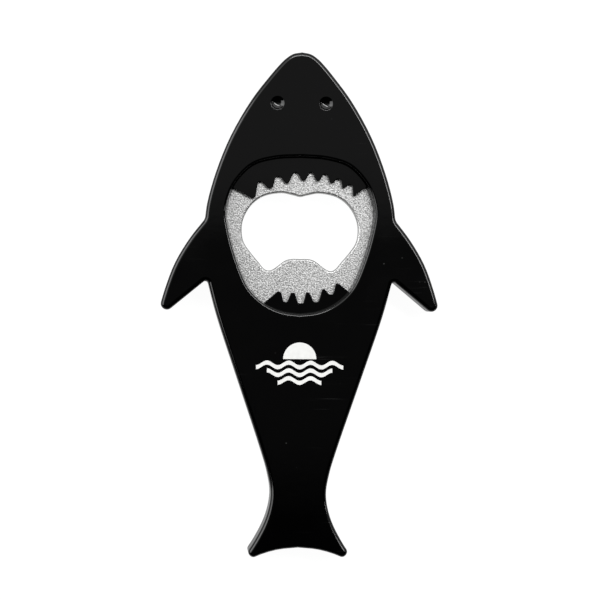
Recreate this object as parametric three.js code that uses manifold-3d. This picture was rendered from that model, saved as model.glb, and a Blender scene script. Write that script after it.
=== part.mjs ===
// A souvenir bottle opener in the shape of a shark. Two moulded shells clamp a steel opener plate
// between them, and five self-tapping screws from the back hold the shells together.
// Millimetres, +Z up. The opener lies on its back: the back face is z = 0, the nose points to +Y,
// and the origin is on the back face, halfway between nose and tail.
import * as THREE from "three";
import { mergeVertices } from "three/addons/utils/BufferGeometryUtils.js";
import Module from "manifold-3d";

const wasm = await Module();
wasm.setup();

// ---------------------------------------------------------------- driving dimensions

const bodyLength = 140; // nose to tail tips
const bodyWidth = 77; // fin tip to fin tip
const bodyThickness = 9; // back face to front face
const edgeRadius = 1.2; // rounding of the outer edges, front and back
const skin = 2; // shell wall over the cored-out pockets
const sideWall = 2.2; // shell wall beside the cored-out pockets
const ribWidth = 1.2; // ribs between the belly pockets

const seamHeight = 0.3; // shadow line where the shells meet
const seamDepth = 0.25;

const lipDepth = 2; // front face down to the gums
const gumThickness = 0.9; // gums down to the steel
const mouthDraft = 0.5; // how far the mouth's wall slopes in, face to steel
const lipChamfer = 0.4; // broken edge of the mouth, front and back
const toothRounding = 0.4; // corners of the teeth and of the gaps between them

const plateThickness = 2.5;
const plateOverlap = 1.9; // how far the plate reaches under the mouth's rim
const plateClearance = 0.3; // plate to the pocket and the bosses that locate it
const earMargin = 1.7; // steel round a boss hole
const earReach = 3.5; // how far an ear runs back into the plate, past the mouth's edge
const plateChamfer = 0.3; // broken edge of the cap aperture

const apertureWidth = 32.5; // takes a crown cap, 29 mm over its teeth
const apertureHeight = 21.65;
const apertureRaise = 1.1; // aperture's centre above the mouth's centre

const threadRadius = 1.1; // self-tapping screw, 2.2 mm
const threadGap = 0.3;
const headRadius = 2.1;
const headHeight = 1.4;
const headGap = 0.3; // head to the wall of its counterbore
const headSink = 0.4; // head below the back face
const headChamfer = 0.4;
const screwTip = 1; // length of the pointed end
const screwTipCover = 1.7; // screw's end to the front face
const boreSpare = 0.4; // bore beyond the screw's end
const recessWidth = 0.7; // cross recess
const recessSpan = 2.4;
const recessDepth = 0.8;

const bossRadius = 2.5;
const upperScrewX = 8.5;
const upperScrewRise = 4.9; // above the mouth
const lowerScrewX = 10.5;
const lowerScrewDrop = 4.4; // below the mouth

const pinRadius = 1.2; // moulded pins that line the shells up
const pinReach = 1.2; // past the parting plane
const pinClearance = 0.3;

const eyeRadius = 1.85; // round dimples
const eyeDepth = 0.75;

const inkThickness = 0.05;
const sunRadius = 4.6;
const waveThickness = 1.15;
const waveHeight = 0.65; // swing of a wave either side of its middle
const waveLength = 6.05;
const wavePitch = 2.15; // one wave's middle to the next
const horizonGap = 0.4; // the sun's foot to the first wave's crests

const overlap = 0.5; // how far joined solids run into each other
const facet = 0.65; // width of the flats that a round wall is made of
const weld = 1e-5; // vertices closer than this are one
const fineness = 0.008; // detail finer than this is merged away after the booleans
const far = 200; // reach of the solids that only cut

// ---------------------------------------------------------------- heights

const gumTop = bodyThickness - lipDepth;
const plateTop = gumTop - gumThickness;
const parting = plateTop - plateThickness; // the plate lies on the back shell's flat top
const headSeat = headSink + headHeight;
const screwEnd = bodyThickness - screwTipCover;

// ---------------------------------------------------------------- the figure, drawn on one side

// Right half of the shark from nose to tail, as smooth runs that meet at rounded corners.
const noseToFin = [
  [0, 70], [2.5, 69.5], [4.6, 68.1], [6.2, 66.5], [9, 63.2], [14, 56.6], [19.7, 46.6],
  [23.7, 36.6], [26, 28.2], [26.6, 23.6],
];
const finFront = [[26.6, 23.6], [30.8, 18.2], [34.8, 11.5], [37.6, 4.1], [40, -4.6]];
const finBack = [[40, -4.6], [25.9, 7]];
const flank = [
  [25.9, 7], [23.2, -3], [17, -21.4], [10.6, -40.2], [8.6, -46.9], [7.75, -52.6],
  [8.9, -58.7], [12, -65.2], [17.2, -72.8],
];
const tailEdge = [[17.2, -72.8], [12.2, -69.9], [6, -67.9], [0, -67.25]];
const finRootRadius = 3.2;
const finTipRadius = 1.7;
const armpitRadius = 0.8;
const tailTipRadius = 1.3;

// Right half of the mouth from top to bottom.
const mouthEdge = [
  [0, 41.25], [7, 40.8], [13.2, 39.05], [17, 35.8], [19.7, 31.6], [21.1, 26], [20.4, 20.5],
  [17.8, 11.4], [14.6, 4.4], [10.1, 0.1], [5, -2.2], [0, -2.85],
];

// The gum line of each jaw, left to right: its ends run into the mouth's wall, and between them
// come the flats of tooth tips and gaps in turn, as [x, y, width, tilt in degrees].
const upperGumLine = {
  start: [-22, 34.2],
  flats: [
    [-13, 29.65, 1.1, 40], [-11.35, 34.1, 1.1, 0], [-8.45, 32.35, 1.4, 14],
    [-6.35, 35.6, 1.3, 0], [-3.85, 33.8, 1, 0], [-1.45, 36.8, 0.9, 0], [0.85, 34.6, 1, 0],
    [2.95, 36.85, 0.8, 0], [4.85, 34.5, 0.9, 0], [6.9, 36.35, 1, -12], [8.7, 33.95, 0.8, 0],
    [10.75, 35.05, 1.1, -18], [11.95, 32.55, 0.6, 0], [14.1, 33.5, 0.9, -22],
    [15, 30.45, 0.6, 0],
  ],
  end: [22, 36.3],
};
const lowerGumLine = {
  start: [-12.5, -1.7],
  flats: [
    [-5.7, 3.65, 1, -12], [-4, 0.85, 1, 0], [-1.9, 3.4, 1, -8], [0.3, 0.5, 1.4, 0],
    [2.25, 3.5, 1, -6], [4.6, 0.9, 1.3, 0], [6.7, 4.45, 0.8, -8], [8.85, 3.1, 1.1, 8],
    [10.5, 6.1, 0.8, -6],
  ],
  end: [16, 2],
};

// Right half of the cap aperture from top to bottom: two lobes and, below, the prying tongue.
const apertureEdge = [
  [0, 30.15], [2.5, 30.7], [5.1, 31.15], [9.9, 30.3], [12.6, 28.65], [14.6, 26.3],
  [15.95, 23.3], [16.25, 20.3], [15.7, 17.4], [14, 14.8], [11.5, 11.8], [9.9, 9.95],
  [8.75, 9.5], [7.5, 9.85], [5.75, 11.1], [4, 12.35], [2.3, 12.8], [0, 12.8],
];

const eyePlace = [6.76, 55.8];
const nosePinPlace = [0, 59];
const finPinPlace = [31.8, 8.6];
const tailScrewPlace = [0, -47];
const emblemTop = -10.4;
const bellyPocketEnds = [-13.5, -61];
const headPocketEnds = [52.8, 63.5];

// ---------------------------------------------------------------- curves

// A smooth line through the points, with the same number of steps from each to the next.
const smoothRun = (points, stepsBetween) =>
  new THREE.CatmullRomCurve3(
    points.map(([x, y]) => new THREE.Vector3(x, y, 0)),
    false,
    "centripetal",
  )
    .getPoints(stepsBetween * (points.length - 1))
    .map(({ x, y }) => new THREE.Vector2(x, y));

const straightRun = (points) => points.map(([x, y]) => new THREE.Vector2(x, y));

const direction = (from, to) => to.clone().sub(from).normalize();

// The run without the last part of its length.
function shortened(run, length) {
  const kept = [...run];
  let left = length;
  while (kept.length > 2 && kept.at(-1).distanceTo(kept.at(-2)) <= left) {
    left -= kept.at(-1).distanceTo(kept.at(-2));
    kept.pop();
  }
  const last = kept.pop();
  kept.push(last.clone().lerp(kept.at(-1), left / last.distanceTo(kept.at(-1))));
  return kept;
}

// How far the line turns at a corner, in radians.
function turnAt(before, corner, after) {
  const cosine = direction(before, corner).dot(direction(corner, after));
  return Math.acos(THREE.MathUtils.clamp(cosine, -1, 1));
}

// A near-circular round from start to end, two points as far from the corner as each other.
function roundPoints(start, corner, end, turn, steps) {
  const pull = ((4 / 3) * Math.tan(turn / 4)) / Math.tan(turn / 2);
  const controls = [start.clone().lerp(corner, pull), end.clone().lerp(corner, pull)];
  return new THREE.CubicBezierCurve(start, ...controls, end).getPoints(steps);
}

// Two runs that meet at a corner, as one run with a round of that radius.
function joinedRound(first, second, radius, steps) {
  const corner = first.at(-1);
  const turn = turnAt(first.at(-2), corner, second[1]);
  const reach = radius * Math.tan(turn / 2);
  const start = shortened(first, reach);
  const end = shortened([...second].reverse(), reach).reverse();
  const round = roundPoints(start.at(-1), corner, end[0], turn, steps);
  return [...start, ...round.slice(1, -1), ...end];
}

// Straight lines from point to point with their corners rounded. The rounds at a line's two ends
// share it and leave a little of it straight, so on a short line they are smaller.
function roundedLine(points, radius, steps) {
  const share = 0.48;
  const rounds = points.slice(1, -1).map((corner, i) => {
    const [before, after] = [points[i], points[i + 2]];
    const turn = turnAt(before, corner, after);
    const room = share * Math.min(corner.distanceTo(before), corner.distanceTo(after));
    const reach = Math.min(radius * Math.tan(turn / 2), room);
    const start = corner.clone().addScaledVector(direction(corner, before), reach);
    const end = corner.clone().addScaledVector(direction(corner, after), reach);
    return roundPoints(start, corner, end, turn, steps);
  });
  return [points[0], ...rounds.flat(), points.at(-1)];
}

// Top-to-bottom right half as a closed counter-clockwise contour, mirrored about x = 0.
function mirrored(half) {
  const right = [...half].reverse();
  right[0].x = 0;
  right.at(-1).x = 0;
  const left = half.slice(1, -1).map(({ x, y }) => new THREE.Vector2(-x, y));
  return [...right, ...left];
}

// A counter-clockwise contour moved outwards by a distance, or inwards by a negative one.
function offset(contour, distance) {
  return contour.map((point, i) => {
    const before = direction(contour.at(i - 1), point);
    const after = direction(point, contour[(i + 1) % contour.length]);
    const normals = [before, after].map(({ x, y }) => new THREE.Vector2(y, -x));
    const sum = normals[0].clone().add(normals[1]);
    return point.clone().addScaledVector(sum, distance / (1 + normals[0].dot(normals[1])));
  });
}

const extent = (points, axis) => {
  const values = points.map((point) => point[axis]);
  return [Math.min(...values), Math.max(...values)];
};

// ---------------------------------------------------------------- the figure at its size

// The body's outline at a scale. The runs are scaled first, so the corner radii keep their size.
function outlineAt(scale) {
  const sized = (run) => run.map((point) => point.multiply(scale));
  let half = sized(smoothRun(noseToFin, 4));
  half = joinedRound(half, sized(smoothRun(finFront, 4)), finRootRadius, 6);
  half = joinedRound(half, sized(straightRun(finBack)), finTipRadius, 10);
  half = joinedRound(half, sized(smoothRun(flank, 5)), armpitRadius, 6);
  half = joinedRound(half, sized(smoothRun(tailEdge, 3)), tailTipRadius, 14);
  return mirrored(half);
}

// The scale at which the rounded outline is as long and as wide as the body: each pass comes closer.
let figureScale = new THREE.Vector2(1, 1);
let outline = outlineAt(figureScale);
for (let pass = 0; pass < 8; pass += 1) {
  const [low, high] = extent(outline, "y");
  const growth = new THREE.Vector2(
    bodyWidth / 2 / extent(outline, "x")[1],
    bodyLength / (high - low),
  );
  figureScale = figureScale.clone().multiply(growth);
  outline = outlineAt(figureScale);
}
const outlineMiddle = (extent(outline, "y")[0] + extent(outline, "y")[1]) / 2;

// A drawn point at the opener's own size, its length centred on the origin.
const placed = ({ x, y }) =>
  new THREE.Vector2(x * figureScale.x, y * figureScale.y - outlineMiddle);
const placedPair = ([x, y]) => placed({ x, y });

const body = outline.map(({ x, y }) => new THREE.Vector2(x, y - outlineMiddle));
const mouth = mirrored(smoothRun(mouthEdge, 4)).map(placed);
const [mouthBottom, mouthTop] = extent(mouth, "y");
const mouthMiddle = (mouthTop + mouthBottom) / 2;

function fittedAperture() {
  const drawn = mirrored(smoothRun(apertureEdge, 3));
  const [low, high] = extent(drawn, "y");
  const scaleX = apertureWidth / 2 / extent(drawn, "x")[1];
  const scaleY = apertureHeight / (high - low);
  const centre = mouthMiddle + apertureRaise;
  return drawn.map(
    ({ x, y }) => new THREE.Vector2(x * scaleX, (y - (low + high) / 2) * scaleY + centre),
  );
}

const aperture = fittedAperture();

// Half the body's width at a height on the figure, not counting the fins.
function halfWidthAt(y) {
  const crossings = [];
  body.forEach((a, i) => {
    const b = body[(i + 1) % body.length];
    if (a.y < y !== b.y < y && a.x + b.x > 0)
      crossings.push(THREE.MathUtils.mapLinear(y, a.y, b.y, a.x, b.x));
  });
  return Math.min(...crossings);
}

const screwPlaces = {
  screw_upper_left: new THREE.Vector2(-upperScrewX, mouthTop + upperScrewRise),
  screw_upper_right: new THREE.Vector2(upperScrewX, mouthTop + upperScrewRise),
  screw_lower_left: new THREE.Vector2(-lowerScrewX, mouthBottom - lowerScrewDrop),
  screw_lower_right: new THREE.Vector2(lowerScrewX, mouthBottom - lowerScrewDrop),
  screw_tail: placedPair(tailScrewPlace),
};
const plateScrews = Object.values(screwPlaces).slice(0, 4);
const finPin = placedPair(finPinPlace);
const pinPlaces = [placedPair(nosePinPlace), finPin, new THREE.Vector2(-finPin.x, finPin.y)];

// ---------------------------------------------------------------- solids

// A closed geometry as a solid for joining and cutting.
function solid(geometry) {
  const bare = geometry.clone().deleteAttribute("normal").deleteAttribute("uv");
  const merged = mergeVertices(bare, weld);
  return new wasm.Manifold(
    new wasm.Mesh({
      numProp: 3,
      vertProperties: merged.attributes.position.array,
      triVerts: new Uint32Array(merged.index.array),
    }),
  );
}

const joined = (solids) => solids.reduce((sum, next) => sum.add(next));

function slab(contour, low, high) {
  const geometry = new THREE.ExtrudeGeometry(new THREE.Shape(contour), {
    depth: high - low,
    bevelEnabled: false,
  });
  return solid(geometry.translate(0, 0, low));
}

// A slab whose wall slopes outwards by growth from low to high, and goes on straight for a run.
function flaredSlab(contour, low, high, growth, run) {
  const geometry = new THREE.ExtrudeGeometry(new THREE.Shape(contour), {
    depth: run,
    bevelThickness: high - low,
    bevelSize: growth,
    bevelSegments: 1,
  });
  return solid(geometry.translate(0, 0, high));
}

// The same, widening downwards.
const flaredDown = (contour, low, high, growth, run) =>
  flaredSlab(contour, -high, -low, growth, run).mirror([0, 0, 1]);

// How many flats a round wall has, a multiple of four.
const sidesAt = (radius) => 4 * Math.ceil((Math.PI * radius) / (2 * facet));

function cylinder({ x, y }, radius, low, high) {
  const geometry = new THREE.CylinderGeometry(radius, radius, high - low, sidesAt(radius));
  return solid(geometry.rotateX(Math.PI / 2).translate(x, y, (low + high) / 2));
}

function capsule(x, yFrom, yTo, radius, low, high) {
  const shape = new THREE.Shape();
  shape.absarc(x, Math.max(yFrom, yTo), radius, 0, Math.PI);
  shape.absarc(x, Math.min(yFrom, yTo), radius, Math.PI, 2 * Math.PI);
  return slab(shape.getPoints(sidesAt(radius) / 4), low, high);
}

const everythingBetween = (low, high) =>
  solid(new THREE.BoxGeometry(far, far, high - low).translate(0, 0, (low + high) / 2));

function meshOf(name, shape, material) {
  const { vertProperties, triVerts } = shape.asOriginal().simplify(fineness).getMesh();
  const geometry = new THREE.BufferGeometry();
  geometry.setAttribute("position", new THREE.BufferAttribute(vertProperties, 3));
  geometry.setIndex(new THREE.BufferAttribute(triVerts, 1));
  geometry.computeVertexNormals();
  const mesh = new THREE.Mesh(geometry, material);
  mesh.name = name;
  return mesh;
}

// ---------------------------------------------------------------- features that pieces share

// The whole body with rounded outer edges and the seam line, before it is split into shells.
function wholeBody() {
  const block = solid(
    new THREE.ExtrudeGeometry(new THREE.Shape(body), {
      depth: bodyThickness - 2 * edgeRadius,
      bevelThickness: edgeRadius,
      bevelSize: edgeRadius,
      bevelOffset: -edgeRadius,
      bevelSegments: 3,
    }).translate(0, 0, edgeRadius),
  );
  const [low, high] = [parting - seamHeight / 2, parting + seamHeight / 2];
  const seam = everythingBetween(low, high).subtract(slab(offset(body, -seamDepth), low, high));
  return block.subtract(seam);
}

// The plate's outline, grown by a margin: it follows the mouth and has an ear round each screw.
function plateBlank(low, high, margin) {
  const earRadius = bossRadius + plateClearance + earMargin + margin;
  const ears = plateScrews.map(({ x, y }) => {
    const inner = y > mouthMiddle ? mouthTop - earReach : mouthBottom + earReach;
    return capsule(x, y, inner, earRadius, low, high);
  });
  return joined([slab(offset(mouth, plateOverlap + margin), low, high), ...ears]);
}

// Cored-out pockets between two heights on the figure, a wall inside the body's side, with ribs.
function pockets([drawnFrom, drawnTo], count, low, high) {
  const from = placed({ x: 0, y: drawnFrom }).y;
  const to = placed({ x: 0, y: drawnTo }).y;
  const stations = 6;
  const bay = (to - from - Math.sign(to - from) * ribWidth * (count - 1)) / count;
  const pitch = bay + Math.sign(to - from) * ribWidth;
  const bays = Array.from({ length: count }, (_, index) => {
    const right = Array.from({ length: stations }, (_, i) => {
      const y = from + index * pitch + (bay * i) / (stations - 1);
      return new THREE.Vector2(halfWidthAt(y) - sideWall, y);
    });
    const left = right.map(({ x, y }) => new THREE.Vector2(-x, y)).reverse();
    return slab([...right, ...left], low, high);
  });
  return joined(bays);
}

const allPockets = (low, high) =>
  joined([pockets(bellyPocketEnds, 4, low, high), pockets(headPocketEnds, 1, low, high)]);

// ---------------------------------------------------------------- front shell

// The gum line through the ends of its flats, with rounded corners.
function gumPath({ start, flats, end }) {
  const corners = flats.flatMap(([x, y, width, tilt]) => {
    const half = new THREE.Vector2(width / 2, 0).rotateAround(
      new THREE.Vector2(),
      THREE.MathUtils.degToRad(tilt),
    );
    return [[x - half.x, y - half.y], [x + half.x, y + half.y]];
  });
  return roundedLine(straightRun([start, ...corners, end]), toothRounding, 4);
}

// One jaw's gum: the part of the mouth beyond the gum line, with its edge sunk into the wall.
function gum(line, outward) {
  const path = gumPath(line).map(placed);
  const edge = outward * far;
  const region = [
    ...path,
    new THREE.Vector2(path.at(-1).x, edge),
    new THREE.Vector2(path[0].x, edge),
  ];
  const root = slab(offset(mouth, overlap), plateTop, gumTop);
  return root.intersect(slab(region, plateTop, gumTop));
}

function eyeDimple(side) {
  const sphereRadius = (eyeRadius ** 2 + eyeDepth ** 2) / (2 * eyeDepth);
  const sweep = Math.asin(eyeRadius / sphereRadius);
  const steps = 5;
  const bowl = Array.from({ length: steps + 1 }, (_, i) => {
    const angle = (sweep * i) / steps;
    const height = sphereRadius * (1 - Math.cos(angle)) - eyeDepth;
    return new THREE.Vector2(sphereRadius * Math.sin(angle), height);
  });
  bowl[0].x = 0;
  const profile = [...bowl, new THREE.Vector2(eyeRadius, 1), new THREE.Vector2(0, 1)];
  const { x, y } = placedPair(eyePlace);
  const geometry = new THREE.LatheGeometry(profile, sidesAt(eyeRadius)).rotateX(Math.PI / 2);
  return solid(geometry.translate(side * x, y, bodyThickness));
}

function mouthOpening() {
  const wall = offset(mouth, -mouthDraft);
  return joined([
    flaredSlab(wall, plateTop, bodyThickness, mouthDraft, overlap),
    flaredSlab(mouth, bodyThickness - lipChamfer, bodyThickness, lipChamfer, overlap),
  ]);
}

function frontShell() {
  const bosses = Object.values(screwPlaces).map((place) =>
    cylinder(place, bossRadius, parting, gumTop + overlap),
  );
  const pins = pinPlaces.map((place) =>
    cylinder(place, pinRadius, parting - pinReach, gumTop + overlap),
  );
  const bores = Object.values(screwPlaces).map((place) =>
    cylinder(place, threadRadius + threadGap, parting - overlap, screwEnd + boreSpare),
  );
  return wholeBody()
    .intersect(everythingBetween(parting, far))
    .subtract(mouthOpening())
    .subtract(plateBlank(parting - overlap, plateTop, plateClearance))
    .subtract(allPockets(parting - overlap, bodyThickness - skin))
    .add(joined([gum(upperGumLine, 1), gum(lowerGumLine, -1), ...bosses, ...pins]))
    .subtract(joined([...bores, eyeDimple(1), eyeDimple(-1)]));
}

// ---------------------------------------------------------------- back shell

function backShell() {
  const counterbore = headRadius + headGap;
  const posts = Object.values(screwPlaces).map((place) =>
    cylinder(place, counterbore + ribWidth, skin / 2, parting),
  );
  const sockets = pinPlaces.map((place) =>
    cylinder(place, pinRadius + pinClearance, parting - pinReach - pinClearance, far),
  );
  const nosePost = cylinder(pinPlaces[0], pinRadius + pinClearance + ribWidth, skin / 2, parting);
  const holes = Object.values(screwPlaces).flatMap((place) => [
    cylinder(place, threadRadius + threadGap, -far, far),
    cylinder(place, counterbore, -far, headSeat),
  ]);
  return wholeBody()
    .intersect(everythingBetween(-far, parting))
    .subtract(allPockets(skin, parting + overlap))
    .add(joined([...posts, nosePost]))
    .subtract(slab(mouth, -far, far))
    .subtract(flaredDown(mouth, 0, lipChamfer, lipChamfer, overlap))
    .subtract(joined([...sockets, ...holes]));
}

// ---------------------------------------------------------------- opener plate

function openerPlate() {
  const holes = plateScrews.map((place) =>
    cylinder(place, bossRadius + plateClearance, -far, far),
  );
  return plateBlank(parting, plateTop, 0)
    .subtract(slab(aperture, -far, far))
    .subtract(flaredSlab(aperture, plateTop - plateChamfer, plateTop, plateChamfer, overlap))
    .subtract(flaredDown(aperture, parting, parting + plateChamfer, plateChamfer, overlap))
    .subtract(joined(holes));
}

// ---------------------------------------------------------------- screws

// Point up, its head's outer face at z = 0.
function screwSolid() {
  const length = screwEnd - headSink;
  const profile = [
    [0, 0],
    [headRadius - headChamfer, 0],
    [headRadius, headChamfer],
    [headRadius, headHeight],
    [threadRadius, headHeight],
    [threadRadius, length - screwTip],
    [0, length],
  ].map(([x, y]) => new THREE.Vector2(x, y));
  const blank = solid(new THREE.LatheGeometry(profile, sidesAt(headRadius)).rotateX(Math.PI / 2));
  const slot = new THREE.BoxGeometry(recessWidth, recessSpan, 2 * recessDepth);
  return blank.subtract(solid(slot)).subtract(solid(slot.clone().rotateZ(Math.PI / 2)));
}

// ---------------------------------------------------------------- printed emblem

const inkRange = [bodyThickness, bodyThickness + inkThickness];
const emblemTopY = placed({ x: 0, y: emblemTop }).y;
const horizon = emblemTopY - sunRadius;

function printedSun() {
  const shape = new THREE.Shape();
  shape.absarc(0, horizon, sunRadius, 0, Math.PI);
  return slab(shape.getPoints(sidesAt(sunRadius) / 4), ...inkRange);
}

// One wave below the horizon: a band that follows a cosine for a number of wavelengths.
function printedWave(row, waves) {
  const middle = horizon - horizonGap - waveThickness / 2 - waveHeight - row * wavePitch;
  const width = waves * waveLength;
  const steps = 12 * waves;
  const points = Array.from({ length: steps + 1 }, (_, i) => {
    const x = width * (i / steps - 0.5);
    return new THREE.Vector2(x, middle - waveHeight * Math.cos((2 * Math.PI * x) / waveLength));
  });
  const shifted = (dy) => points.map(({ x, y }) => new THREE.Vector2(x, y + dy));
  const contour = [...shifted(-waveThickness / 2), ...shifted(waveThickness / 2).reverse()];
  return slab(contour, ...inkRange);
}

// ---------------------------------------------------------------- the opener

const plastic = new THREE.MeshStandardMaterial({ color: 0x0b0b0c, roughness: 0.18 });
const steel = new THREE.MeshStandardMaterial({
  color: 0xb9bbbd,
  roughness: 0.5,
  metalness: 1,
});
const zinc = new THREE.MeshStandardMaterial({ color: 0xc6c8ca, roughness: 0.3, metalness: 1 });
const ink = new THREE.MeshStandardMaterial({ color: 0xf4f4f2, roughness: 0.6 });

const opener = new THREE.Group();
opener.name = "shark_bottle_opener";
opener.add(
  meshOf("front_shell", frontShell(), plastic),
  meshOf("back_shell", backShell(), plastic),
  meshOf("opener_plate", openerPlate(), steel),
  meshOf("print_sun", printedSun(), ink),
  meshOf("print_wave_upper", printedWave(0, 4), ink),
  meshOf("print_wave_middle", printedWave(1, 3), ink),
  meshOf("print_wave_lower", printedWave(2, 2), ink),
);

const screwShape = screwSolid();
Object.entries(screwPlaces).forEach(([name, { x, y }], index) => {
  const screw = meshOf(name, screwShape, zinc);
  screw.position.set(x, y, headSink);
  screw.rotation.z = index; // each stopped at its own turn
  opener.add(screw);
});

export default opener;
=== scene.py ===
"""Looks of the shark-shaped bottle opener: its shells, plate, screws and print, and the studio.

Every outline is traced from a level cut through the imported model, so nothing is drawn twice.
Lengths are in metres. The opener lies on its back with its nose towards +Y.
"""

import math

import bpy
from mathutils import Matrix, Vector
from mathutils.kdtree import KDTree


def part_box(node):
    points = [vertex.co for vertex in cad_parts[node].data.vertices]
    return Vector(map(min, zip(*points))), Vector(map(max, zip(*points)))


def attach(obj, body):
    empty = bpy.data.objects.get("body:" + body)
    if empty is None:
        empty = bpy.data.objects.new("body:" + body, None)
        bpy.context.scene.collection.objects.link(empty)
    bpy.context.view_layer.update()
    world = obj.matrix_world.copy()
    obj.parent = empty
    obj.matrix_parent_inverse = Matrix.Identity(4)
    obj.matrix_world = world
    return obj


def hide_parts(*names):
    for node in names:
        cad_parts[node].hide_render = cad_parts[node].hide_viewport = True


bl_info = {
    "name": "Shark bottle opener",
    "version": (1, 0, 0),
    "blender": (4, 5, 0),
    "location": "View3D > Sidebar > Opener",
    "description": "Builds a moulded bottle opener round its packed model",
    "category": "Object",
}

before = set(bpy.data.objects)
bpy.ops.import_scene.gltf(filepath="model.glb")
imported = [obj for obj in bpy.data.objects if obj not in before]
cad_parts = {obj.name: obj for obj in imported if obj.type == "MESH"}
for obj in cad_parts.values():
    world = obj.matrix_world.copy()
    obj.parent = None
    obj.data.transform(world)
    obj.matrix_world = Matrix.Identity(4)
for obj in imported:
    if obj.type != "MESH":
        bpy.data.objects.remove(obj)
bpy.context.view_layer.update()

MM = 0.001
WELD = 1e-7  # vertices closer than this are one
SLIVER = 5 * WELD  # a finished piece keeps no edge shorter than this
SAME_HEIGHT = 20 * WELD  # vertices whose heights differ less than this are level
ON_LINE = 0.02 * MM  # a vertex closer than this to a traced line lies on it
LEVEL = math.radians(0.1)  # faces and lines that turn less than this are one
CORNER = math.radians(40)  # a traced line that turns more than this keeps its corner
SOFT_EDGE = math.radians(32)  # faces that turn less than this are shaded as one
OVERSHOOT = MM  # how far a cutting tool reaches past the face that it opens

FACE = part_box("front_shell")[1].z
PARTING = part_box("opener_plate")[0].z
PLATE_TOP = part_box("opener_plate")[1].z
INK_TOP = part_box("print_sun")[1].z
SCREWS = sorted(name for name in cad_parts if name.startswith("screw_"))
PRINTS = sorted(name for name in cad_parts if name.startswith("print_"))

LIGHTS = (  # name, place, width, height and radiance
    ("left_box", (-0.95, 0.2, 0.55), 1.1, 0.8, 2.2),
    ("top_strip", (0.3, 0.55, 1.0), 1.5, 0.13, 12.0),
    ("side_lamp", (1.0, 0.0, 0.5), 0.1, 0.1, 8.0),
)


# ---------------------------------------------------------------- sizes and colours


def size(name, description, millimetres):
    """A length that the user can change."""
    return bpy.props.FloatProperty(
        name=name,
        description=description,
        default=millimetres * MM,
        min=0,
        precision=5,
        unit="LENGTH",
    )


def colour(name, description, *rgb):
    """A colour that the user can change."""
    return bpy.props.FloatVectorProperty(
        name=name, description=description, default=rgb, min=0, max=1, subtype="COLOR"
    )


class OPENER_PG_shells(bpy.types.PropertyGroup):
    """Sizes of the two moulded shells."""

    edge_radius: size("Edge radius", "Rounding of the outer edges, front and back", 1.2)
    seam_radius: size("Seam radius", "Rounding of the edges that meet at the seam", 0.2)
    lip_radius: size("Lip radius", "Rounding of the mouth's front edge", 0.7)
    window_radius: size("Window radius", "Rounding of the back window's edge", 0.4)
    lip_depth: size("Lip depth", "From the front face down to the gums", 2)
    gum_radius: size("Gum radius", "Rounding of the edge of gums and teeth", 0.15)
    mouth_draft: size("Mouth draft", "How far the mouth's wall leans in on its way down", 1.0)
    pocket_skin: size("Pocket skin", "Wall left over the cored-out pockets", 2)
    bore_cover: size("Bore cover", "Wall left over the screws' bores", 1.3)
    head_room: size("Head room", "How deep the back shell's counterbores are", 1.8)
    eye_radius: size("Eye radius", "Width of an eye's dimple from its centre", 1.85)
    eye_depth: size("Eye depth", "How deep an eye's dimple is", 0.75)
    eye_rim: size("Eye rim", "Rounding of the rim of an eye's dimple", 0.3)


class OPENER_PG_steel(bpy.types.PropertyGroup):
    """Sizes of the plate and the screws."""

    aperture_radius: size("Aperture edge", "Rounding of the cap aperture's edges", 0.6)
    head_radius: size("Head radius", "Screw head, from its axis", 2.1)
    head_height: size("Head height", "Height of a screw's head", 1.4)
    recess_width: size("Recess width", "Width of the cross recess", 0.7)
    recess_span: size("Recess span", "Length of the cross recess", 2.4)
    recess_depth: size("Recess depth", "Depth of the cross recess", 0.8)
    core_radius: size("Core radius", "Screw shank under its thread", 0.75)
    thread_radius: size("Thread radius", "Screw thread's crest, from the axis", 1.1)
    thread_pitch: size("Thread pitch", "From one thread crest to the next", 0.8)
    end_gap: size("End gap", "How far a screw's blunt end stops short of its packed model's", 1)


class OPENER_PG_finish(bpy.types.PropertyGroup):
    """Colours of the finishes."""

    plastic: colour("Plastic", "Gloss black of the shells", 0.0005, 0.0005, 0.00055)
    dust: colour("Dust", "Fine dust on the plastic", 0.05, 0.05, 0.048)
    steel: colour("Steel", "Blasted stainless steel", 0.52, 0.52, 0.517)
    zinc: colour("Zinc", "Bright zinc plate", 0.62, 0.63, 0.64)
    ink: colour("Ink", "White pad-printed ink", 0.9, 0.9, 0.88)


# ---------------------------------------------------------------- selecting and editing


def activate(*pieces):
    """Selects only these objects, the first of them active."""
    bpy.ops.object.select_all(action="DESELECT")
    for piece in pieces:
        piece.select_set(True)
    bpy.context.view_layer.objects.active = pieces[0]


def edit(piece, mode="VERT"):
    """Opens a mesh in edit mode with everything selected."""
    activate(piece)
    bpy.ops.object.mode_set(mode="EDIT")
    bpy.ops.mesh.select_mode(type=mode)
    bpy.ops.mesh.select_all(action="SELECT")


def leave_edit():
    """Goes back to object mode."""
    bpy.ops.object.mode_set(mode="OBJECT")


def edit_edges(piece, test):
    """Opens a mesh in edit mode with only the edges selected whose two ends pass the test."""
    edit(piece, "EDGE")
    bpy.ops.mesh.select_all(action="DESELECT")
    leave_edit()
    places = [vertex.co.copy() for vertex in piece.data.vertices]
    for edge in piece.data.edges:
        edge.select = all(test(places[end]) for end in edge.vertices)
    bpy.ops.object.mode_set(mode="EDIT")


def at_height(height):
    """A test for places at a height."""
    return lambda place: abs(place.z - height) < SAME_HEIGHT


def away_from(points):
    """A function that gives how far a place is, seen from above, from the points of a line."""
    tree = KDTree(len(points))
    for index, point in enumerate(points):
        tree.insert((point.x, point.y, 0), index)
    tree.balance()
    return lambda place: tree.find((place.x, place.y, 0))[2]


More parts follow.
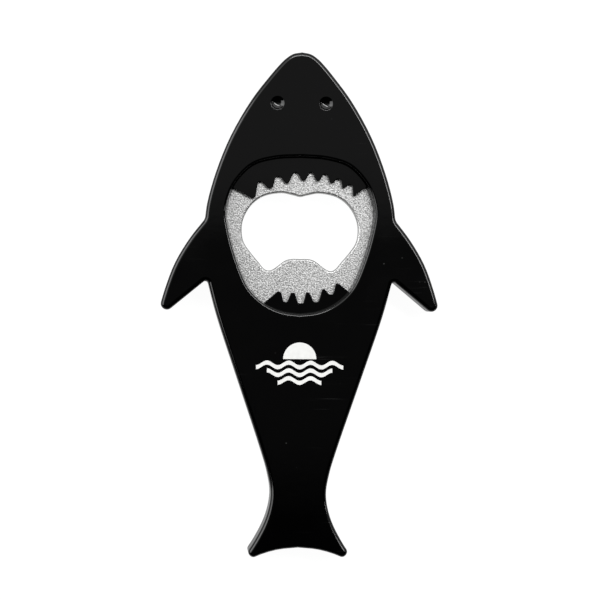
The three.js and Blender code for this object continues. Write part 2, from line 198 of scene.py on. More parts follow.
def along(points, height):
    """A test for places at a height that lie on the points of a line, seen from above."""
    level, away = at_height(height), away_from(points)
    return lambda place: level(place) and away(place) < ON_LINE


# ---------------------------------------------------------------- lines traced from the model


def points_of(line):
    """The places of a line's vertices."""
    return [vertex.co.copy() for vertex in line.data.vertices]


def span_of(line):
    """Middle and size of a traced line's box."""
    points = points_of(line)
    low = Vector(min(point[axis] for point in points) for axis in range(3))
    high = Vector(max(point[axis] for point in points) for axis in range(3))
    return (low + high) / 2, high - low


def is_screw_place(line):
    """Whether a traced line lies round a screw's axis."""
    middle = span_of(line)[0]
    for name in SCREWS:
        low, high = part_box(name)
        axis = (low + high) / 2
        if math.hypot(axis.x - middle.x, axis.y - middle.y) < MM:
            return True
    return False


def traced(node, height):
    """The closed lines in which a level plane cuts a node, largest first."""
    cut = bpy.data.objects.new("line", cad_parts[node].data.copy())
    bpy.context.collection.objects.link(cut)
    edit(cut)
    bpy.ops.mesh.remove_doubles(threshold=WELD)
    bpy.ops.mesh.dissolve_limited(angle_limit=LEVEL)
    bpy.ops.mesh.select_all(action="SELECT")
    bpy.ops.mesh.bisect(
        plane_co=(0, 0, height),
        plane_no=(0, 0, 1),
        clear_inner=True,
        clear_outer=True,
        threshold=WELD,
    )
    bpy.ops.mesh.select_all(action="SELECT")
    bpy.ops.mesh.separate(type="LOOSE")
    leave_edit()
    return sorted(bpy.context.selected_objects, key=lambda line: -span_of(line)[1].length)


def copied(piece):
    """A copy of an object, with its own mesh."""
    activate(piece)
    bpy.ops.object.duplicate()
    return bpy.context.object


def discard(*pieces):
    """Removes objects that were only a help."""
    for piece in pieces:
        bpy.data.objects.remove(piece)


def smoothed(line, steps=3):
    """The line as a smooth curve through its points, its corners kept, as edges again."""
    activate(line)
    bpy.ops.object.convert(target="CURVE")
    bpy.ops.object.mode_set(mode="EDIT")
    bpy.ops.curve.select_all(action="SELECT")
    bpy.ops.curve.spline_type_set(type="BEZIER")
    bpy.ops.curve.handle_type_set(type="AUTOMATIC")
    leave_edit()
    curve = bpy.context.object
    for spline in curve.data.splines:
        points = spline.bezier_points
        for index, point in enumerate(points):
            before = point.co - points[index - 1].co
            after = points[(index + 1) % len(points)].co - point.co
            if before.angle(after) > CORNER:
                point.handle_left_type = "VECTOR"
                point.handle_right_type = "VECTOR"
    curve.data.resolution_u = steps
    bpy.ops.object.convert(target="MESH")
    return bpy.context.object


# ---------------------------------------------------------------- solids


def slab(name, lines, low, high):
    """A closed slab between two heights, its outline and holes given by lines."""
    activate(*lines)
    bpy.ops.object.join()
    piece = bpy.context.object
    piece.name = name
    edit(piece)
    bpy.ops.mesh.remove_doubles(threshold=WELD)
    bpy.ops.mesh.fill(use_beauty=False)
    bpy.ops.mesh.select_all(action="SELECT")
    bpy.ops.mesh.dissolve_limited(angle_limit=LEVEL, use_dissolve_boundaries=False)
    bpy.ops.mesh.select_all(action="SELECT")
    start = piece.data.vertices[0].co.z
    bpy.ops.transform.translate(value=(0, 0, low - start))
    bpy.ops.mesh.extrude_region_move(TRANSFORM_OT_translate={"value": (0, 0, high - low)})
    bpy.ops.mesh.select_all(action="SELECT")
    bpy.ops.mesh.normals_make_consistent(inside=False)
    leave_edit()
    return piece


def round_edges(piece, test, radius, steps):
    """Rounds the edges whose ends pass the test."""
    edit_edges(piece, test)
    bpy.ops.mesh.bevel(offset=radius, segments=steps, profile=0.5, clamp_overlap=False)
    leave_edit()


def combine(piece, tool, operation):
    """Joins a tool solid to a piece or cuts it out, and removes the tool."""
    activate(piece)
    modifier = piece.modifiers.new("combine", "BOOLEAN")
    modifier.operation = operation
    modifier.solver = "EXACT"
    modifier.object = tool
    bpy.ops.object.modifier_apply(modifier=modifier.name)
    discard(tool)


def finish_piece(piece, name, slot, material, *nodes):
    """Cleans and shades a finished mesh, hangs it under the root body, and hides the nodes that
    it stands for.
    """
    edit(piece)
    bpy.ops.mesh.remove_doubles(threshold=SLIVER)
    bpy.ops.mesh.dissolve_degenerate(threshold=SLIVER)
    leave_edit()
    bpy.ops.object.shade_smooth_by_angle(angle=SOFT_EDGE)
    modifier = piece.modifiers.new("weight", "WEIGHTED_NORMAL")
    modifier.keep_sharp = True
    modifier.weight = 50
    bpy.ops.object.modifier_apply(modifier=modifier.name)
    piece.name = name
    piece.data.name = name
    piece.data.materials.clear()
    piece.data.materials.append(material)
    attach(piece, "root")
    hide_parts(*nodes)
    return piece


# ---------------------------------------------------------------- shells


def front_body(sizes, outline, wall):
    """The front shell's rounded slab, with the mouth through it and its wall leaning in."""
    outline_points, wall_points = points_of(outline), points_of(wall)
    centre, width = span_of(wall)
    for line in (outline, wall):
        line.data.transform(Matrix.Translation((0, 0, -points_of(line)[0].z)))
    shell = slab("front_shell", [outline, wall], PARTING, FACE)
    round_edges(shell, along(outline_points, FACE), sizes.edge_radius, 8)
    round_edges(shell, along(outline_points, PARTING), sizes.seam_radius, 3)
    round_edges(shell, along(wall_points, FACE), sizes.lip_radius, 5)
    edit_edges(shell, along(wall_points, PARTING))
    shrink = 1 - 2 * sizes.mouth_draft / min(width.x, width.y)
    bpy.ops.transform.resize(value=(shrink, shrink, 1), center_override=centre)
    leave_edit()
    return shell


def cut_front_inside(shell, sizes, plate_lines, hollow_lines):
    """Cuts the plate's pocket round the bosses, the hollows above it and the screws' bores."""
    below = PARTING - OVERSHOOT
    bore_limit = 4 * MM  # a line round a screw is its bore up to this width, and a boss past it
    pocket, *inner = plate_lines
    bosses = [
        line for line in inner if is_screw_place(line) and span_of(line)[1].x > bore_limit
    ]
    discard(*[line for line in inner if line not in bosses])
    combine(shell, slab("pocket", [pocket, *bosses], below, PLATE_TOP), "DIFFERENCE")

    bores = [line for line in hollow_lines if is_screw_place(line)]
    hollows = [line for line in hollow_lines if line not in bores]
    discard(*bores)
    combine(shell, slab("hollows", hollows, below, FACE - sizes.pocket_skin), "DIFFERENCE")

    bore_level = FACE - (sizes.pocket_skin + sizes.bore_cover) / 2
    outside, wall, *bores = traced("front_shell", bore_level)
    discard(outside, wall)
    combine(shell, slab("bores", bores, below, FACE - sizes.bore_cover), "DIFFERENCE")


def gum_slab(root, throat, top):
    """The gums with their teeth, whose root reaches a little into the mouth's wall."""
    into_wall = 1.03  # the root's size, as a share of the mouth's
    centre = span_of(root)[0]
    rise = points_of(throat)[0].z - points_of(root)[0].z
    edit(root)
    bpy.ops.transform.resize(value=(into_wall, into_wall, 1), center_override=centre)
    bpy.ops.transform.translate(value=(0, 0, rise))
    leave_edit()
    return slab("gums", [root, throat], PLATE_TOP, top)


def dimple_shape(sizes):
    """What an eye's dimple takes away: a ball's cap whose rim turns smoothly out to the face."""
    ball_steps, rim_steps = 24, 8
    rim_turn = 0.9  # the rim stops this share of the way to level
    ball = (sizes.eye_radius**2 + sizes.eye_depth**2) / (2 * sizes.eye_depth)
    centre = ball - sizes.eye_depth
    rim_height = -sizes.eye_rim
    rim_reach = math.sqrt((ball + sizes.eye_rim) ** 2 - (centre - rim_height) ** 2)
    lean = math.atan2(rim_reach, centre - rim_height)
    profile = []
    for step in range(1, ball_steps + 1):
        turn = lean * step / ball_steps
        profile.append((ball * math.sin(turn), centre - ball * math.cos(turn)))
    for step in range(1, rim_steps + 1):
        turn = lean * (1 - rim_turn * step / rim_steps)
        reach = rim_reach - sizes.eye_rim * math.sin(turn)
        profile.append((reach, rim_height + sizes.eye_rim * math.cos(turn)))
    profile.append((rim_reach + sizes.eye_rim, sizes.eye_depth))

    reach, height = profile[0]
    bpy.ops.mesh.primitive_circle_add(
        vertices=96, radius=reach, fill_type="NGON", location=(0, 0, height)
    )
    dimple = bpy.context.object
    bpy.ops.object.transform_apply(location=True)
    edit(dimple, "FACE")
    for wider, higher in profile[1:]:
        rise, growth = higher - height, wider / reach
        bpy.ops.mesh.extrude_region_move(TRANSFORM_OT_translate={"value": (0, 0, rise)})
        bpy.ops.transform.resize(value=(growth, growth, 1), center_override=(0, 0, higher))
        reach, height = wider, higher
    bpy.ops.mesh.select_all(action="SELECT")
    bpy.ops.mesh.normals_make_consistent(inside=False)
    leave_edit()
    return dimple


def press_eyes(shell, sizes):
    """Sinks the two eyes' dimples into the face."""
    outside, wall, *eyes = traced("front_shell", FACE - 0.1 * MM)
    discard(outside, wall)
    for eye in eyes:
        middle = span_of(eye)[0]
        dimple = dimple_shape(sizes)
        dimple.data.transform(Matrix.Translation((middle.x, middle.y, FACE)))
        combine(shell, dimple, "DIFFERENCE")
        discard(eye)


def front_shell(sizes):
    """The front shell's mesh: face, mouth, pockets, bosses, gums with teeth, pins and eyes."""
    gum_top = FACE - sizes.lip_depth
    outline, *plate_lines = traced("front_shell", (PARTING + PLATE_TOP) / 2)
    outside, wall = traced("front_shell", FACE - sizes.lip_depth / 2)
    discard(outside)
    wall = smoothed(wall)
    wall_points, gum_root = points_of(wall), copied(wall)
    shell = front_body(sizes, outline, wall)

    outside, throat, *hollow_lines = traced("front_shell", (PLATE_TOP + gum_top) / 2)
    discard(outside)
    cut_front_inside(shell, sizes, plate_lines, hollow_lines)
    throat = smoothed(throat)
    throat_points = points_of(throat)
    combine(shell, gum_slab(gum_root, throat, gum_top), "UNION")

    pins = traced("front_shell", PARTING - MM / 2)
    pin_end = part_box("front_shell")[0].z
    combine(shell, slab("pins", pins, pin_end, PARTING + OVERSHOOT), "UNION")
    press_eyes(shell, sizes)

    clear_of_wall = 0.55 * MM  # the rounding of the gums' edge starts this far from the wall
    on_gum, from_wall = along(throat_points, gum_top), away_from(wall_points)
    round_edges(
        shell,
        lambda place: on_gum(place) and from_wall(place) > clear_of_wall,
        sizes.gum_radius,
        4,
    )
    return shell


def back_shell(sizes):
    """The back shell's mesh: window, pockets, screw posts with counterbores, and pin sockets."""
    floor = sizes.pocket_skin
    outline, window, *hollows = traced("back_shell", (floor + PARTING) / 2)
    window = smoothed(window)
    outline_points, window_points = points_of(outline), points_of(window)
    shell = slab("back_shell", [outline, window], 0, PARTING)
    round_edges(shell, along(outline_points, 0), sizes.edge_radius, 8)
    round_edges(shell, along(outline_points, PARTING), sizes.seam_radius, 3)
    round_edges(shell, along(window_points, 0), sizes.window_radius, 5)
    round_edges(shell, along(window_points, PARTING), sizes.seam_radius, 3)
    combine(shell, slab("hollows", hollows, floor, PARTING + OVERSHOOT), "DIFFERENCE")

    head_middle = sizes.head_room / 2
    outside, window, *bores = traced("back_shell", (floor + sizes.head_room) / 2)
    discard(outside, window)
    combine(shell, slab("bores", bores, head_middle, floor + OVERSHOOT / 2), "DIFFERENCE")
    outside, window, *counterbores = traced("back_shell", head_middle)
    discard(outside, window)
    tool = slab("counterbores", counterbores, -OVERSHOOT, sizes.head_room)
    combine(shell, tool, "DIFFERENCE")
    return shell


# ---------------------------------------------------------------- plate, screws and print


def opener_plate(sizes):
    """The steel plate's mesh, with its ears, screw holes and cap aperture."""
    outline, aperture, *holes = traced("opener_plate", (PARTING + PLATE_TOP) / 2)
    aperture = smoothed(aperture)
    rim = points_of(aperture)
    plate = slab("opener_plate", [outline, aperture, *holes], PARTING, PLATE_TOP)
    for height in (PARTING, PLATE_TOP):
        round_edges(plate, along(rim, height), sizes.aperture_radius, 4)
    return plate


def thread_shape(sizes, shank_end):
    """The thread's ridge as a closed coil round the shank."""
    root = sizes.core_radius - 0.15 * MM  # the ridge's foot lies inside the shank
    half_width = 0.32 * sizes.thread_pitch
    start = sizes.head_height + 0.6 * sizes.thread_pitch
    bpy.ops.mesh.primitive_circle_add(vertices=3, radius=1, fill_type="NOTHING")
    ridge = bpy.context.object
    corners = ((root, -half_width), (sizes.thread_radius, 0), (root, half_width))
    for vertex, (reach, rise) in zip(ridge.data.vertices, corners):
        vertex.co = (reach, 0, start + rise)
    activate(ridge)
    modifier = ridge.modifiers.new("thread", "SCREW")
    modifier.screw_offset = sizes.thread_pitch
    modifier.iterations = int((shank_end - start) / sizes.thread_pitch)
    modifier.steps = 24
    modifier.render_steps = 24
    modifier.use_smooth_shade = False
    bpy.ops.object.modifier_apply(modifier=modifier.name)
    edit(ridge)
    bpy.ops.mesh.fill_holes(sides=3)
    bpy.ops.mesh.select_all(action="SELECT")
    bpy.ops.mesh.normals_make_consistent(inside=False)
    leave_edit()
    return ridge


def recess_shape(sizes, turn):
    """One bar of the cross recess, which narrows on its way in."""
    floor_share = 0.7  # the recess's size at its floor, as a share of that at its mouth
    depth = sizes.recess_depth
    bpy.ops.mesh.primitive_cube_add(size=1)
    bar = bpy.context.object
    scale = Matrix.Diagonal((sizes.recess_width, sizes.recess_span, 2 * depth, 1))
    bar.data.transform(Matrix.Rotation(turn, 4, "Z") @ scale)
    edit_edges(bar, at_height(depth))
    bpy.ops.transform.resize(value=(floor_share, floor_share, 1), center_override=(0, 0, depth))
    leave_edit()
    return bar


def screw_shape(sizes, length):
    """A flat-headed self-tapping screw along +Z from the origin, its head at the bottom."""
    bpy.ops.mesh.primitive_cylinder_add(
        vertices=64,
        radius=sizes.head_radius,
        depth=sizes.head_height,
        location=(0, 0, sizes.head_height / 2),
    )
    bpy.ops.object.transform_apply(location=True)
    screw = bpy.context.object
    shank_start = sizes.head_height - MM / 2
    shank_end = length - sizes.end_gap
    bpy.ops.mesh.primitive_cylinder_add(
        vertices=32,
        radius=sizes.core_radius,
        depth=shank_end - shank_start,
        location=(0, 0, (shank_end + shank_start) / 2),
    )
    combine(screw, bpy.context.object, "UNION")
    combine(screw, thread_shape(sizes, shank_end), "UNION")
    for turn in (0, math.pi / 2):
        combine(screw, recess_shape(sizes, turn), "DIFFERENCE")
    return screw


def printed_island(name):
    """One island of ink, traced from its node, its top edge rounded over part of its height."""
    (line,) = traced(name, (FACE + INK_TOP) / 2)
    if name == "print_sun":
        line = smoothed(line)
    island = slab(name, [line], FACE, INK_TOP)
    round_edges(island, at_height(INK_TOP), 0.6 * (INK_TOP - FACE), 2)
    return island


# ---------------------------------------------------------------- nodes


def fill_socket(tree, socket, value):
    """Links a socket to another one, or sets its value."""
    if isinstance(value, bpy.types.NodeSocket):
        tree.links.new(value, socket)
    else:
        socket.default_value = value


def add_node(tree, kind, inputs=None, **settings):
    """A node with its settings, its inputs set to values or linked to sockets."""
    made = tree.nodes.new(kind)
    for key, value in settings.items():
        setattr(made, key, value)
    for key, value in (inputs or {}).items():
        fill_socket(tree, made.inputs[key], value)
    return made


def math_node(tree, operation, first, second=0.0, clamp=False):
    """The result of a sum on two values or sockets."""
    inputs = {0: first, 1: second}
    made = add_node(tree, "ShaderNodeMath", inputs, operation=operation, use_clamp=clamp)
    return made.outputs[0]


def mapped(tree, value, low, high, to_low=0.0, to_high=1.0):
    """A value moved from one range to another, kept inside it."""
    inputs = {
        "Value": value,
        "From Min": low,
        "From Max": high,
        "To Min": to_low,
        "To Max": to_high,
    }
    return add_node(tree, "ShaderNodeMapRange", inputs).outputs["Result"]


def mixed(tree, share, first, second):
    """Two colours mixed by a share from 0 to 1."""
    inputs = {0: share, 6: first, 7: second}  # a mix node's own numbers for its colour sockets
    return add_node(tree, "ShaderNodeMix", inputs, data_type="RGBA").outputs[2]


def object_place(tree):
    """The place on the piece that is being shaded."""
    return add_node(tree, "ShaderNodeTexCoord").outputs["Object"]


def new_group(name, inputs, output):
    """An empty node group with float inputs and one output, and its two end nodes."""
    tree = bpy.data.node_groups.new(name, "ShaderNodeTree")
    for key, default in inputs.items():
        socket = tree.interface.new_socket(key, in_out="INPUT", socket_type="NodeSocketFloat")
        socket.default_value = default
    tree.interface.new_socket(output, in_out="OUTPUT", socket_type="NodeSocketFloat")
    return tree, tree.nodes.new("NodeGroupInput"), tree.nodes.new("NodeGroupOutput")


def scratches_group():
    """Fine straight scratches: thin streaks in patches, in two directions."""
    tree, start, end = new_group("fine_scratches", {"Amount": 0.5, "Scale": 60.0}, "Mask")
    place = object_place(tree)
    streaks = []
    for turn in (0.35, -0.9):
        inputs = {"Vector": place, "Rotation": (0, 0, turn), "Scale": (1, 26, 1)}
        turned = add_node(tree, "ShaderNodeMapping", inputs).outputs[0]
        inputs = {"Vector": turned, "Scale": start.outputs["Scale"], "Detail": 3.0}
        noise = add_node(tree, "ShaderNodeTexNoise", inputs).outputs[0]
        streaks.append(mapped(tree, noise, 0.66, 0.74))
    patch = add_node(tree, "ShaderNodeTexNoise", {"Vector": place, "Scale": 45.0, "Detail": 2.0})
    patch = mapped(tree, patch.outputs[0], 0.46, 0.66)
    streak = math_node(tree, "MAXIMUM", *streaks)
    mask = math_node(tree, "MULTIPLY", streak, patch)
    mask = math_node(tree, "MULTIPLY", mask, start.outputs["Amount"])
    tree.links.new(mask, end.inputs["Mask"])
    return tree


def dust_group():
    """Specks of dust, each a small dot, more in some places than in others."""
    tree, start, end = new_group("dust_specks", {"Amount": 0.5, "Scale": 700.0}, "Mask")
    inputs = {"Vector": object_place(tree), "Scale": start.outputs["Scale"]}
    cells = add_node(tree, "ShaderNodeTexVoronoi", inputs)
    dot = mapped(tree, cells.outputs["Distance"], 0.05, 0.16, 1.0, 0.0)
    chosen = mapped(tree, cells.outputs["Color"], 0.86, 0.9)
    dot = math_node(tree, "MULTIPLY", dot, chosen)
    mask = math_node(tree, "MULTIPLY", dot, start.outputs["Amount"])
    tree.links.new(mask, end.inputs["Mask"])
    return tree


def grain_group():
    """Even grain from 0 to 1 about a half."""
    tree, start, end = new_group("grain", {"Scale": 2000.0, "Contrast": 1.0}, "Value")
    inputs = {"Vector": object_place(tree), "Scale": start.outputs["Scale"], "Detail": 2.0}
    noise = add_node(tree, "ShaderNodeTexNoise", inputs).outputs[0]
    centred = math_node(tree, "SUBTRACT", noise, 0.5)
    scaled = math_node(tree, "MULTIPLY", centred, start.outputs["Contrast"])
    tree.links.new(math_node(tree, "ADD", scaled, 0.5, clamp=True), end.inputs["Value"])
    return tree


def shared_effect(tree, name, **values):
    """A shared node group placed in a material with its own values, built when first needed."""
    makers = {"fine_scratches": scratches_group, "dust_specks": dust_group, "grain": grain_group}
    group = bpy.data.node_groups.get(name) or makers[name]()
    return add_node(tree, "ShaderNodeGroup", values, node_tree=group).outputs[0]


# ---------------------------------------------------------------- finishes


def rgba(value):
    """A colour with full alpha."""
    return (*value, 1)


def times(share, value):
    """A colour made darker or lighter, kept from passing white."""
    return rgba([min(1, share * part) for part in value])


def new_material(name):
    """A material holding one shader and its output."""
    material = bpy.data.materials.new(name)
    material.use_nodes = True
    tree = material.node_tree
    return material, tree, tree.nodes["Principled BSDF"]


def bump(tree, shader, height, distance):
    """Puts a height from 0 to 1 on a shader as bumps this high."""
    inputs = {"Height": height, "Distance": distance, "Strength": 1.0}
    tree.links.new(add_node(tree, "ShaderNodeBump", inputs).outputs[0], shader.inputs["Normal"])


def gloss_plastic(finish):
    """Moulded gloss black plastic with a faint ripple, fine scratches and dust."""
    material, tree, shader = new_material("gloss_plastic")
    scratch = shared_effect(tree, "fine_scratches", Amount=0.8, Scale=50.0)
    dust = shared_effect(tree, "dust_specks", Amount=0.5, Scale=600.0)
    ripple = shared_effect(tree, "grain", Scale=420.0, Contrast=1.0)
    haze = shared_effect(tree, "grain", Scale=90.0, Contrast=1.6)
    base = mixed(tree, dust, rgba(finish.plastic), rgba(finish.dust))
    tree.links.new(base, shader.inputs["Base Color"])
    rough = mapped(tree, haze, 0.3, 0.7, 0.05, 0.1)
    rough = math_node(tree, "ADD", rough, math_node(tree, "MULTIPLY", scratch, 0.3))
    rough = math_node(tree, "ADD", rough, math_node(tree, "MULTIPLY", dust, 0.5), clamp=True)
    tree.links.new(rough, shader.inputs["Roughness"])
    shader.inputs["IOR"].default_value = 1.5
    height = math_node(tree, "SUBTRACT", ripple, math_node(tree, "MULTIPLY", scratch, 0.4))
    bump(tree, shader, height, 0.004 * MM)
    return material


def blasted_steel(finish):
    """Stainless steel: a blasted, grainy face, and smoother punched edges below it, painted
    lighter as a painted highlight.
    """
    material, tree, shader = new_material("blasted_steel")
    grain = shared_effect(tree, "grain", Scale=2600.0, Contrast=3.4)
    blotch = shared_effect(tree, "grain", Scale=160.0, Contrast=1.0)
    height = add_node(tree, "ShaderNodeSeparateXYZ", {0: object_place(tree)}).outputs["Z"]
    # the band below the top face: the punched edges, smoother and without grain
    edge = mapped(tree, height, PLATE_TOP - 0.2 * MM, PLATE_TOP - 0.03 * MM, 1.0, 0.0)
    light = times(1.5, finish.steel)
    base = mixed(tree, grain, times(0.5, finish.steel), light)
    # painted highlight: the punched edges take the lighter steel colour, standing in for the
    # light that their walls catch
    base = mixed(tree, edge, base, light)
    tree.links.new(base, shader.inputs["Base Color"])
    rough = mapped(tree, blotch, 0.3, 0.7, 0.5, 0.6)
    smoother = math_node(tree, "MULTIPLY", edge, 0.3)
    tree.links.new(math_node(tree, "SUBTRACT", rough, smoother), shader.inputs["Roughness"])
    shader.inputs["Metallic"].default_value = 1.0
    on_face = math_node(tree, "SUBTRACT", 1.0, edge)
    bump(tree, shader, math_node(tree, "MULTIPLY", grain, on_face), 0.03 * MM)
    return material


def bright_zinc(finish):
    """Bright zinc plate with a faint cloud and fine grain."""
    material, tree, shader = new_material("bright_zinc")
    grain = shared_effect(tree, "grain", Scale=3000.0, Contrast=1.0)
    cloud = shared_effect(tree, "grain", Scale=500.0, Contrast=1.5)
    cool = [share * tint for share, tint in zip(finish.zinc, (0.82, 0.86, 0.94))]
    base = mixed(tree, cloud, rgba(cool), rgba(finish.zinc))
    tree.links.new(base, shader.inputs["Base Color"])
    tree.links.new(mapped(tree, grain, 0.3, 0.7, 0.2, 0.36), shader.inputs["Roughness"])
    shader.inputs["Metallic"].default_value = 1.0
    bump(tree, shader, grain, 0.006 * MM)
    return material


def pad_ink(finish):
    """White printing ink: matt, a little uneven, with dark pinholes."""
    material, tree, shader = new_material("pad_ink")
    pinhole = shared_effect(tree, "dust_specks", Amount=0.8, Scale=1500.0)
    uneven = shared_effect(tree, "grain", Scale=700.0, Contrast=1.2)
    base = mixed(tree, uneven, times(0.86, finish.ink), rgba(finish.ink))
    base = mixed(tree, pinhole, base, times(0.25, finish.ink))
    tree.links.new(base, shader.inputs["Base Color"])
    tree.links.new(mapped(tree, uneven, 0.3, 0.7, 0.4, 0.55), shader.inputs["Roughness"])
    bump(tree, shader, uneven, 0.01 * MM)
    return material


def finish_of(maker):
    """A finish by the function that makes it, made the first time that a piece needs it."""
    made = bpy.data.materials.get(maker.__name__)
    return made or maker(bpy.context.scene.opener_finish)


# ---------------------------------------------------------------- studio


def place_camera():
    """A camera nearly square over the front face, a little to its left."""
    distance, seen_width = 475 * MM, 166.4 * MM
    target = Vector((0, 1.3 * MM, FACE - MM))
    back = Vector((-0.07, 0, 1)).normalized()
    across = Vector((0, 1, 0)).cross(back).normalized()
    upright = Matrix((across, back.cross(across), back)).transposed().to_4x4()
    roll = Matrix.Rotation(math.radians(0.5), 4, "Z")
    data = bpy.data.cameras.new("camera")
    data.angle = 2 * math.atan(seen_width / 2 / distance)
    data.clip_start = 0.01
    data.clip_end = 20
    camera = bpy.data.objects.new("camera", data)
    bpy.context.collection.objects.link(camera)
    camera.matrix_world = Matrix.Translation(target + distance * back) @ upright @ roll
    bpy.context.scene.camera = camera


def soft_light(name, place, wide, high, radiance):
    """A rectangular light at a place, its long side level, facing the opener."""
    data = bpy.data.lights.new(name, "AREA")
    data.shape = "RECTANGLE"
    data.size = wide
    data.size_y = high
    data.energy = 4 * wide * high * radiance  # Blender's own measure of an area light
    light = bpy.data.objects.new(name, data)
    bpy.context.collection.objects.link(light)
    towards = (-Vector(place)).to_track_quat("-Z", "Y").to_matrix().to_4x4()
    light.matrix_world = Matrix.Translation(place) @ towards
    light.visible_camera = False


def surroundings():
    """A dim room that brightens overhead towards the nose, and is pale where the camera sees it.

    Each range is of a direction's X, Y or Z, from -1 to 1.
    """
    world = bpy.data.worlds.new("room")
    bpy.context.scene.world = world
    world.use_nodes = True
    tree = world.node_tree
    tree.nodes.clear()
    direction = add_node(tree, "ShaderNodeTexCoord").outputs["Generated"]
    parts = add_node(tree, "ShaderNodeSeparateXYZ", {0: direction})
    nosewards, up = parts.outputs["Y"], parts.outputs["Z"]
    sideways = math_node(tree, "ABSOLUTE", parts.outputs["X"])

    panel = mapped(tree, nosewards, 0.036, 0.06, 0.0, 0.165)
    ceiling = mapped(tree, nosewards, -0.12, -0.09, 0.0, 0.05)
    overhead = math_node(tree, "ADD", panel, ceiling)
    for fade in (
        mapped(tree, nosewards, 0.25, 0.4, 1.0, 0.05),
        mapped(tree, sideways, 0.2, 0.35, 1.0, 0.05),
        mapped(tree, up, 0.0, 0.2),
    ):
        overhead = math_node(tree, "MULTIPLY", overhead, fade)

    tent = mapped(tree, up, 0.25, 0.35, 0.0, 1.3)
    for fade in (
        mapped(tree, up, 0.88, 0.95, 1.0, 0.0),
        mapped(tree, nosewards, 0.05, 0.35),
    ):
        tent = math_node(tree, "MULTIPLY", tent, fade)

    room = math_node(tree, "ADD", overhead, tent)
    seen = add_node(tree, "ShaderNodeLightPath").outputs["Is Camera Ray"]
    shade = mixed(tree, seen, room, (0.9, 0.9, 0.9, 1))
    background = add_node(tree, "ShaderNodeBackground", {"Color": shade, "Strength": 1.0})
    end = add_node(tree, "ShaderNodeOutputWorld")
    tree.links.new(background.outputs[0], end.inputs["Surface"])


def pale_floor():
    """A pale floor just under the opener, seen through from below."""
    bpy.ops.mesh.primitive_plane_add(size=4, location=(0, 0, -0.02 * MM))
    floor = bpy.context.object
    floor.name = "floor"
    material = bpy.data.materials.new("pale_floor")
    material.use_nodes = True
    tree = material.node_tree
    tree.nodes.clear()
    seen = add_node(tree, "ShaderNodeLightPath").outputs["Is Camera Ray"]
    strength = mapped(tree, seen, 0, 1, 0.4, 0.97)
    glow = add_node(tree, "ShaderNodeEmission", {"Strength": strength}).outputs[0]
    card = add_node(tree, "ShaderNodeBsdfDiffuse", {"Color": (0.1, 0.1, 0.1, 1)}).outputs[0]
    above = add_node(tree, "ShaderNodeAddShader", {0: glow, 1: card}).outputs[0]
    below = add_node(tree, "ShaderNodeBsdfTransparent").outputs[0]
    from_below = add_node(tree, "ShaderNodeNewGeometry").outputs["Backfacing"]
    sides = add_node(tree, "ShaderNodeMixShader", {0: from_below, 1: above, 2: below})
    end = add_node(tree, "ShaderNodeOutputMaterial")
    tree.links.new(sides.outputs[0], end.inputs["Surface"])
    floor.data.materials.append(material)


# ---------------------------------------------------------------- operators


class OPENER_OT_front_shell(bpy.types.Operator):
    """Build the front shell with its gums, teeth and dimples"""

    bl_idname = "opener.front_shell"
    bl_label = "Front Shell"

    def execute(self, context):
        shell = front_shell(context.scene.opener_shells)
        plastic = finish_of(gloss_plastic)
        finish_piece(shell, "front_shell_moulding", "shell_plastic", plastic, "front_shell")
        return {"FINISHED"}


class OPENER_OT_back_shell(bpy.types.Operator):
    """Build the back shell with its window, counterbores and sockets"""

    bl_idname = "opener.back_shell"
    bl_label = "Back Shell"

    def execute(self, context):
        shell = back_shell(context.scene.opener_shells)
        plastic = finish_of(gloss_plastic)
        finish_piece(shell, "back_shell_moulding", "shell_plastic", plastic, "back_shell")
        return {"FINISHED"}


class OPENER_OT_plate(bpy.types.Operator):
    """Build the steel plate with its cap aperture"""

    bl_idname = "opener.plate"
    bl_label = "Opener Plate"

    def execute(self, context):
        plate = opener_plate(context.scene.opener_steel)
        steel = finish_of(blasted_steel)
        finish_piece(plate, "opener_plate_steel", "plate_steel", steel, "opener_plate")
        return {"FINISHED"}


class OPENER_OT_screws(bpy.types.Operator):
    """Build one screw and copy it to each of the five bosses"""

    bl_idname = "opener.screws"
    bl_label = "Screws"

    def execute(self, context):
        low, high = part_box(SCREWS[0])
        model = screw_shape(context.scene.opener_steel, high.z - low.z)
        zinc = finish_of(bright_zinc)
        for index, name in enumerate(SCREWS):
            low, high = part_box(name)
            screw = copied(model)
            place = Matrix.Translation(((low.x + high.x) / 2, (low.y + high.y) / 2, low.z))
            screw.data.transform(place @ Matrix.Rotation(index, 4, "Z"))
            finish_piece(screw, name + "_zinc", "screw_zinc", zinc, name)
        discard(model)
        return {"FINISHED"}


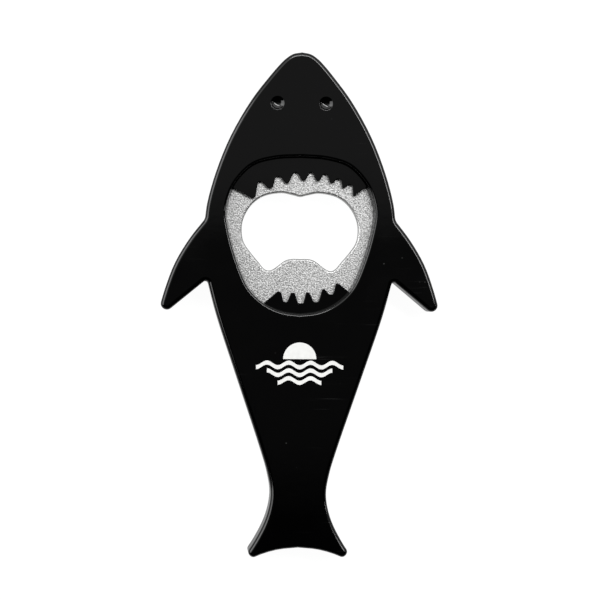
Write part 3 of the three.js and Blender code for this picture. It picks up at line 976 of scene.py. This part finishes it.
class OPENER_OT_print(bpy.types.Operator):
    """Build the islands of the printed half sun and waves"""

    bl_idname = "opener.print"
    bl_label = "Print"

    def execute(self, context):
        ink = finish_of(pad_ink)
        for name in PRINTS:
            finish_piece(printed_island(name), name + "_ink", "print_ink", ink, name)
        return {"FINISHED"}


class OPENER_OT_studio(bpy.types.Operator):
    """Set up the pale floor, the soft lights and the camera"""

    bl_idname = "opener.studio"
    bl_label = "Studio"

    def execute(self, context):
        place_camera()
        pale_floor()
        surroundings()
        for light in LIGHTS:
            soft_light(*light)
        context.scene.view_settings.view_transform = "Standard"
        return {"FINISHED"}


class OPENER_PT_panel(bpy.types.Panel):
    """Sizes, colours and steps of the bottle opener"""

    bl_idname = "OPENER_PT_panel"
    bl_label = "Bottle Opener"
    bl_space_type = "VIEW_3D"
    bl_region_type = "UI"
    bl_category = "Opener"

    def draw(self, context):
        scene = context.scene
        for title, settings in (
            ("Shells", scene.opener_shells),
            ("Steel", scene.opener_steel),
            ("Finish", scene.opener_finish),
        ):
            box = self.layout.box()
            box.label(text=title)
            for key in settings.__annotations__:
                box.prop(settings, key)
        for operator in OPERATORS:
            self.layout.operator(operator.bl_idname)


OPERATORS = (
    OPENER_OT_studio,
    OPENER_OT_back_shell,
    OPENER_OT_plate,
    OPENER_OT_front_shell,
    OPENER_OT_screws,
    OPENER_OT_print,
)
CLASSES = (
    OPENER_PG_shells,
    OPENER_PG_steel,
    OPENER_PG_finish,
    *OPERATORS,
    OPENER_PT_panel,
)


def register():
    for item in CLASSES:
        bpy.utils.register_class(item)
    scene = bpy.types.Scene
    scene.opener_shells = bpy.props.PointerProperty(type=OPENER_PG_shells)
    scene.opener_steel = bpy.props.PointerProperty(type=OPENER_PG_steel)
    scene.opener_finish = bpy.props.PointerProperty(type=OPENER_PG_finish)


def unregister():
    for key in ("opener_shells", "opener_steel", "opener_finish"):
        delattr(bpy.types.Scene, key)
    for item in reversed(CLASSES):
        bpy.utils.unregister_class(item)


def main():
    """Builds everything."""
    register()
    bpy.ops.object.select_all(action="DESELECT")
    for operator in OPERATORS:
        space, name = operator.bl_idname.split(".")
        getattr(getattr(bpy.ops, space), name)()


if __name__ == "__main__":
    main()
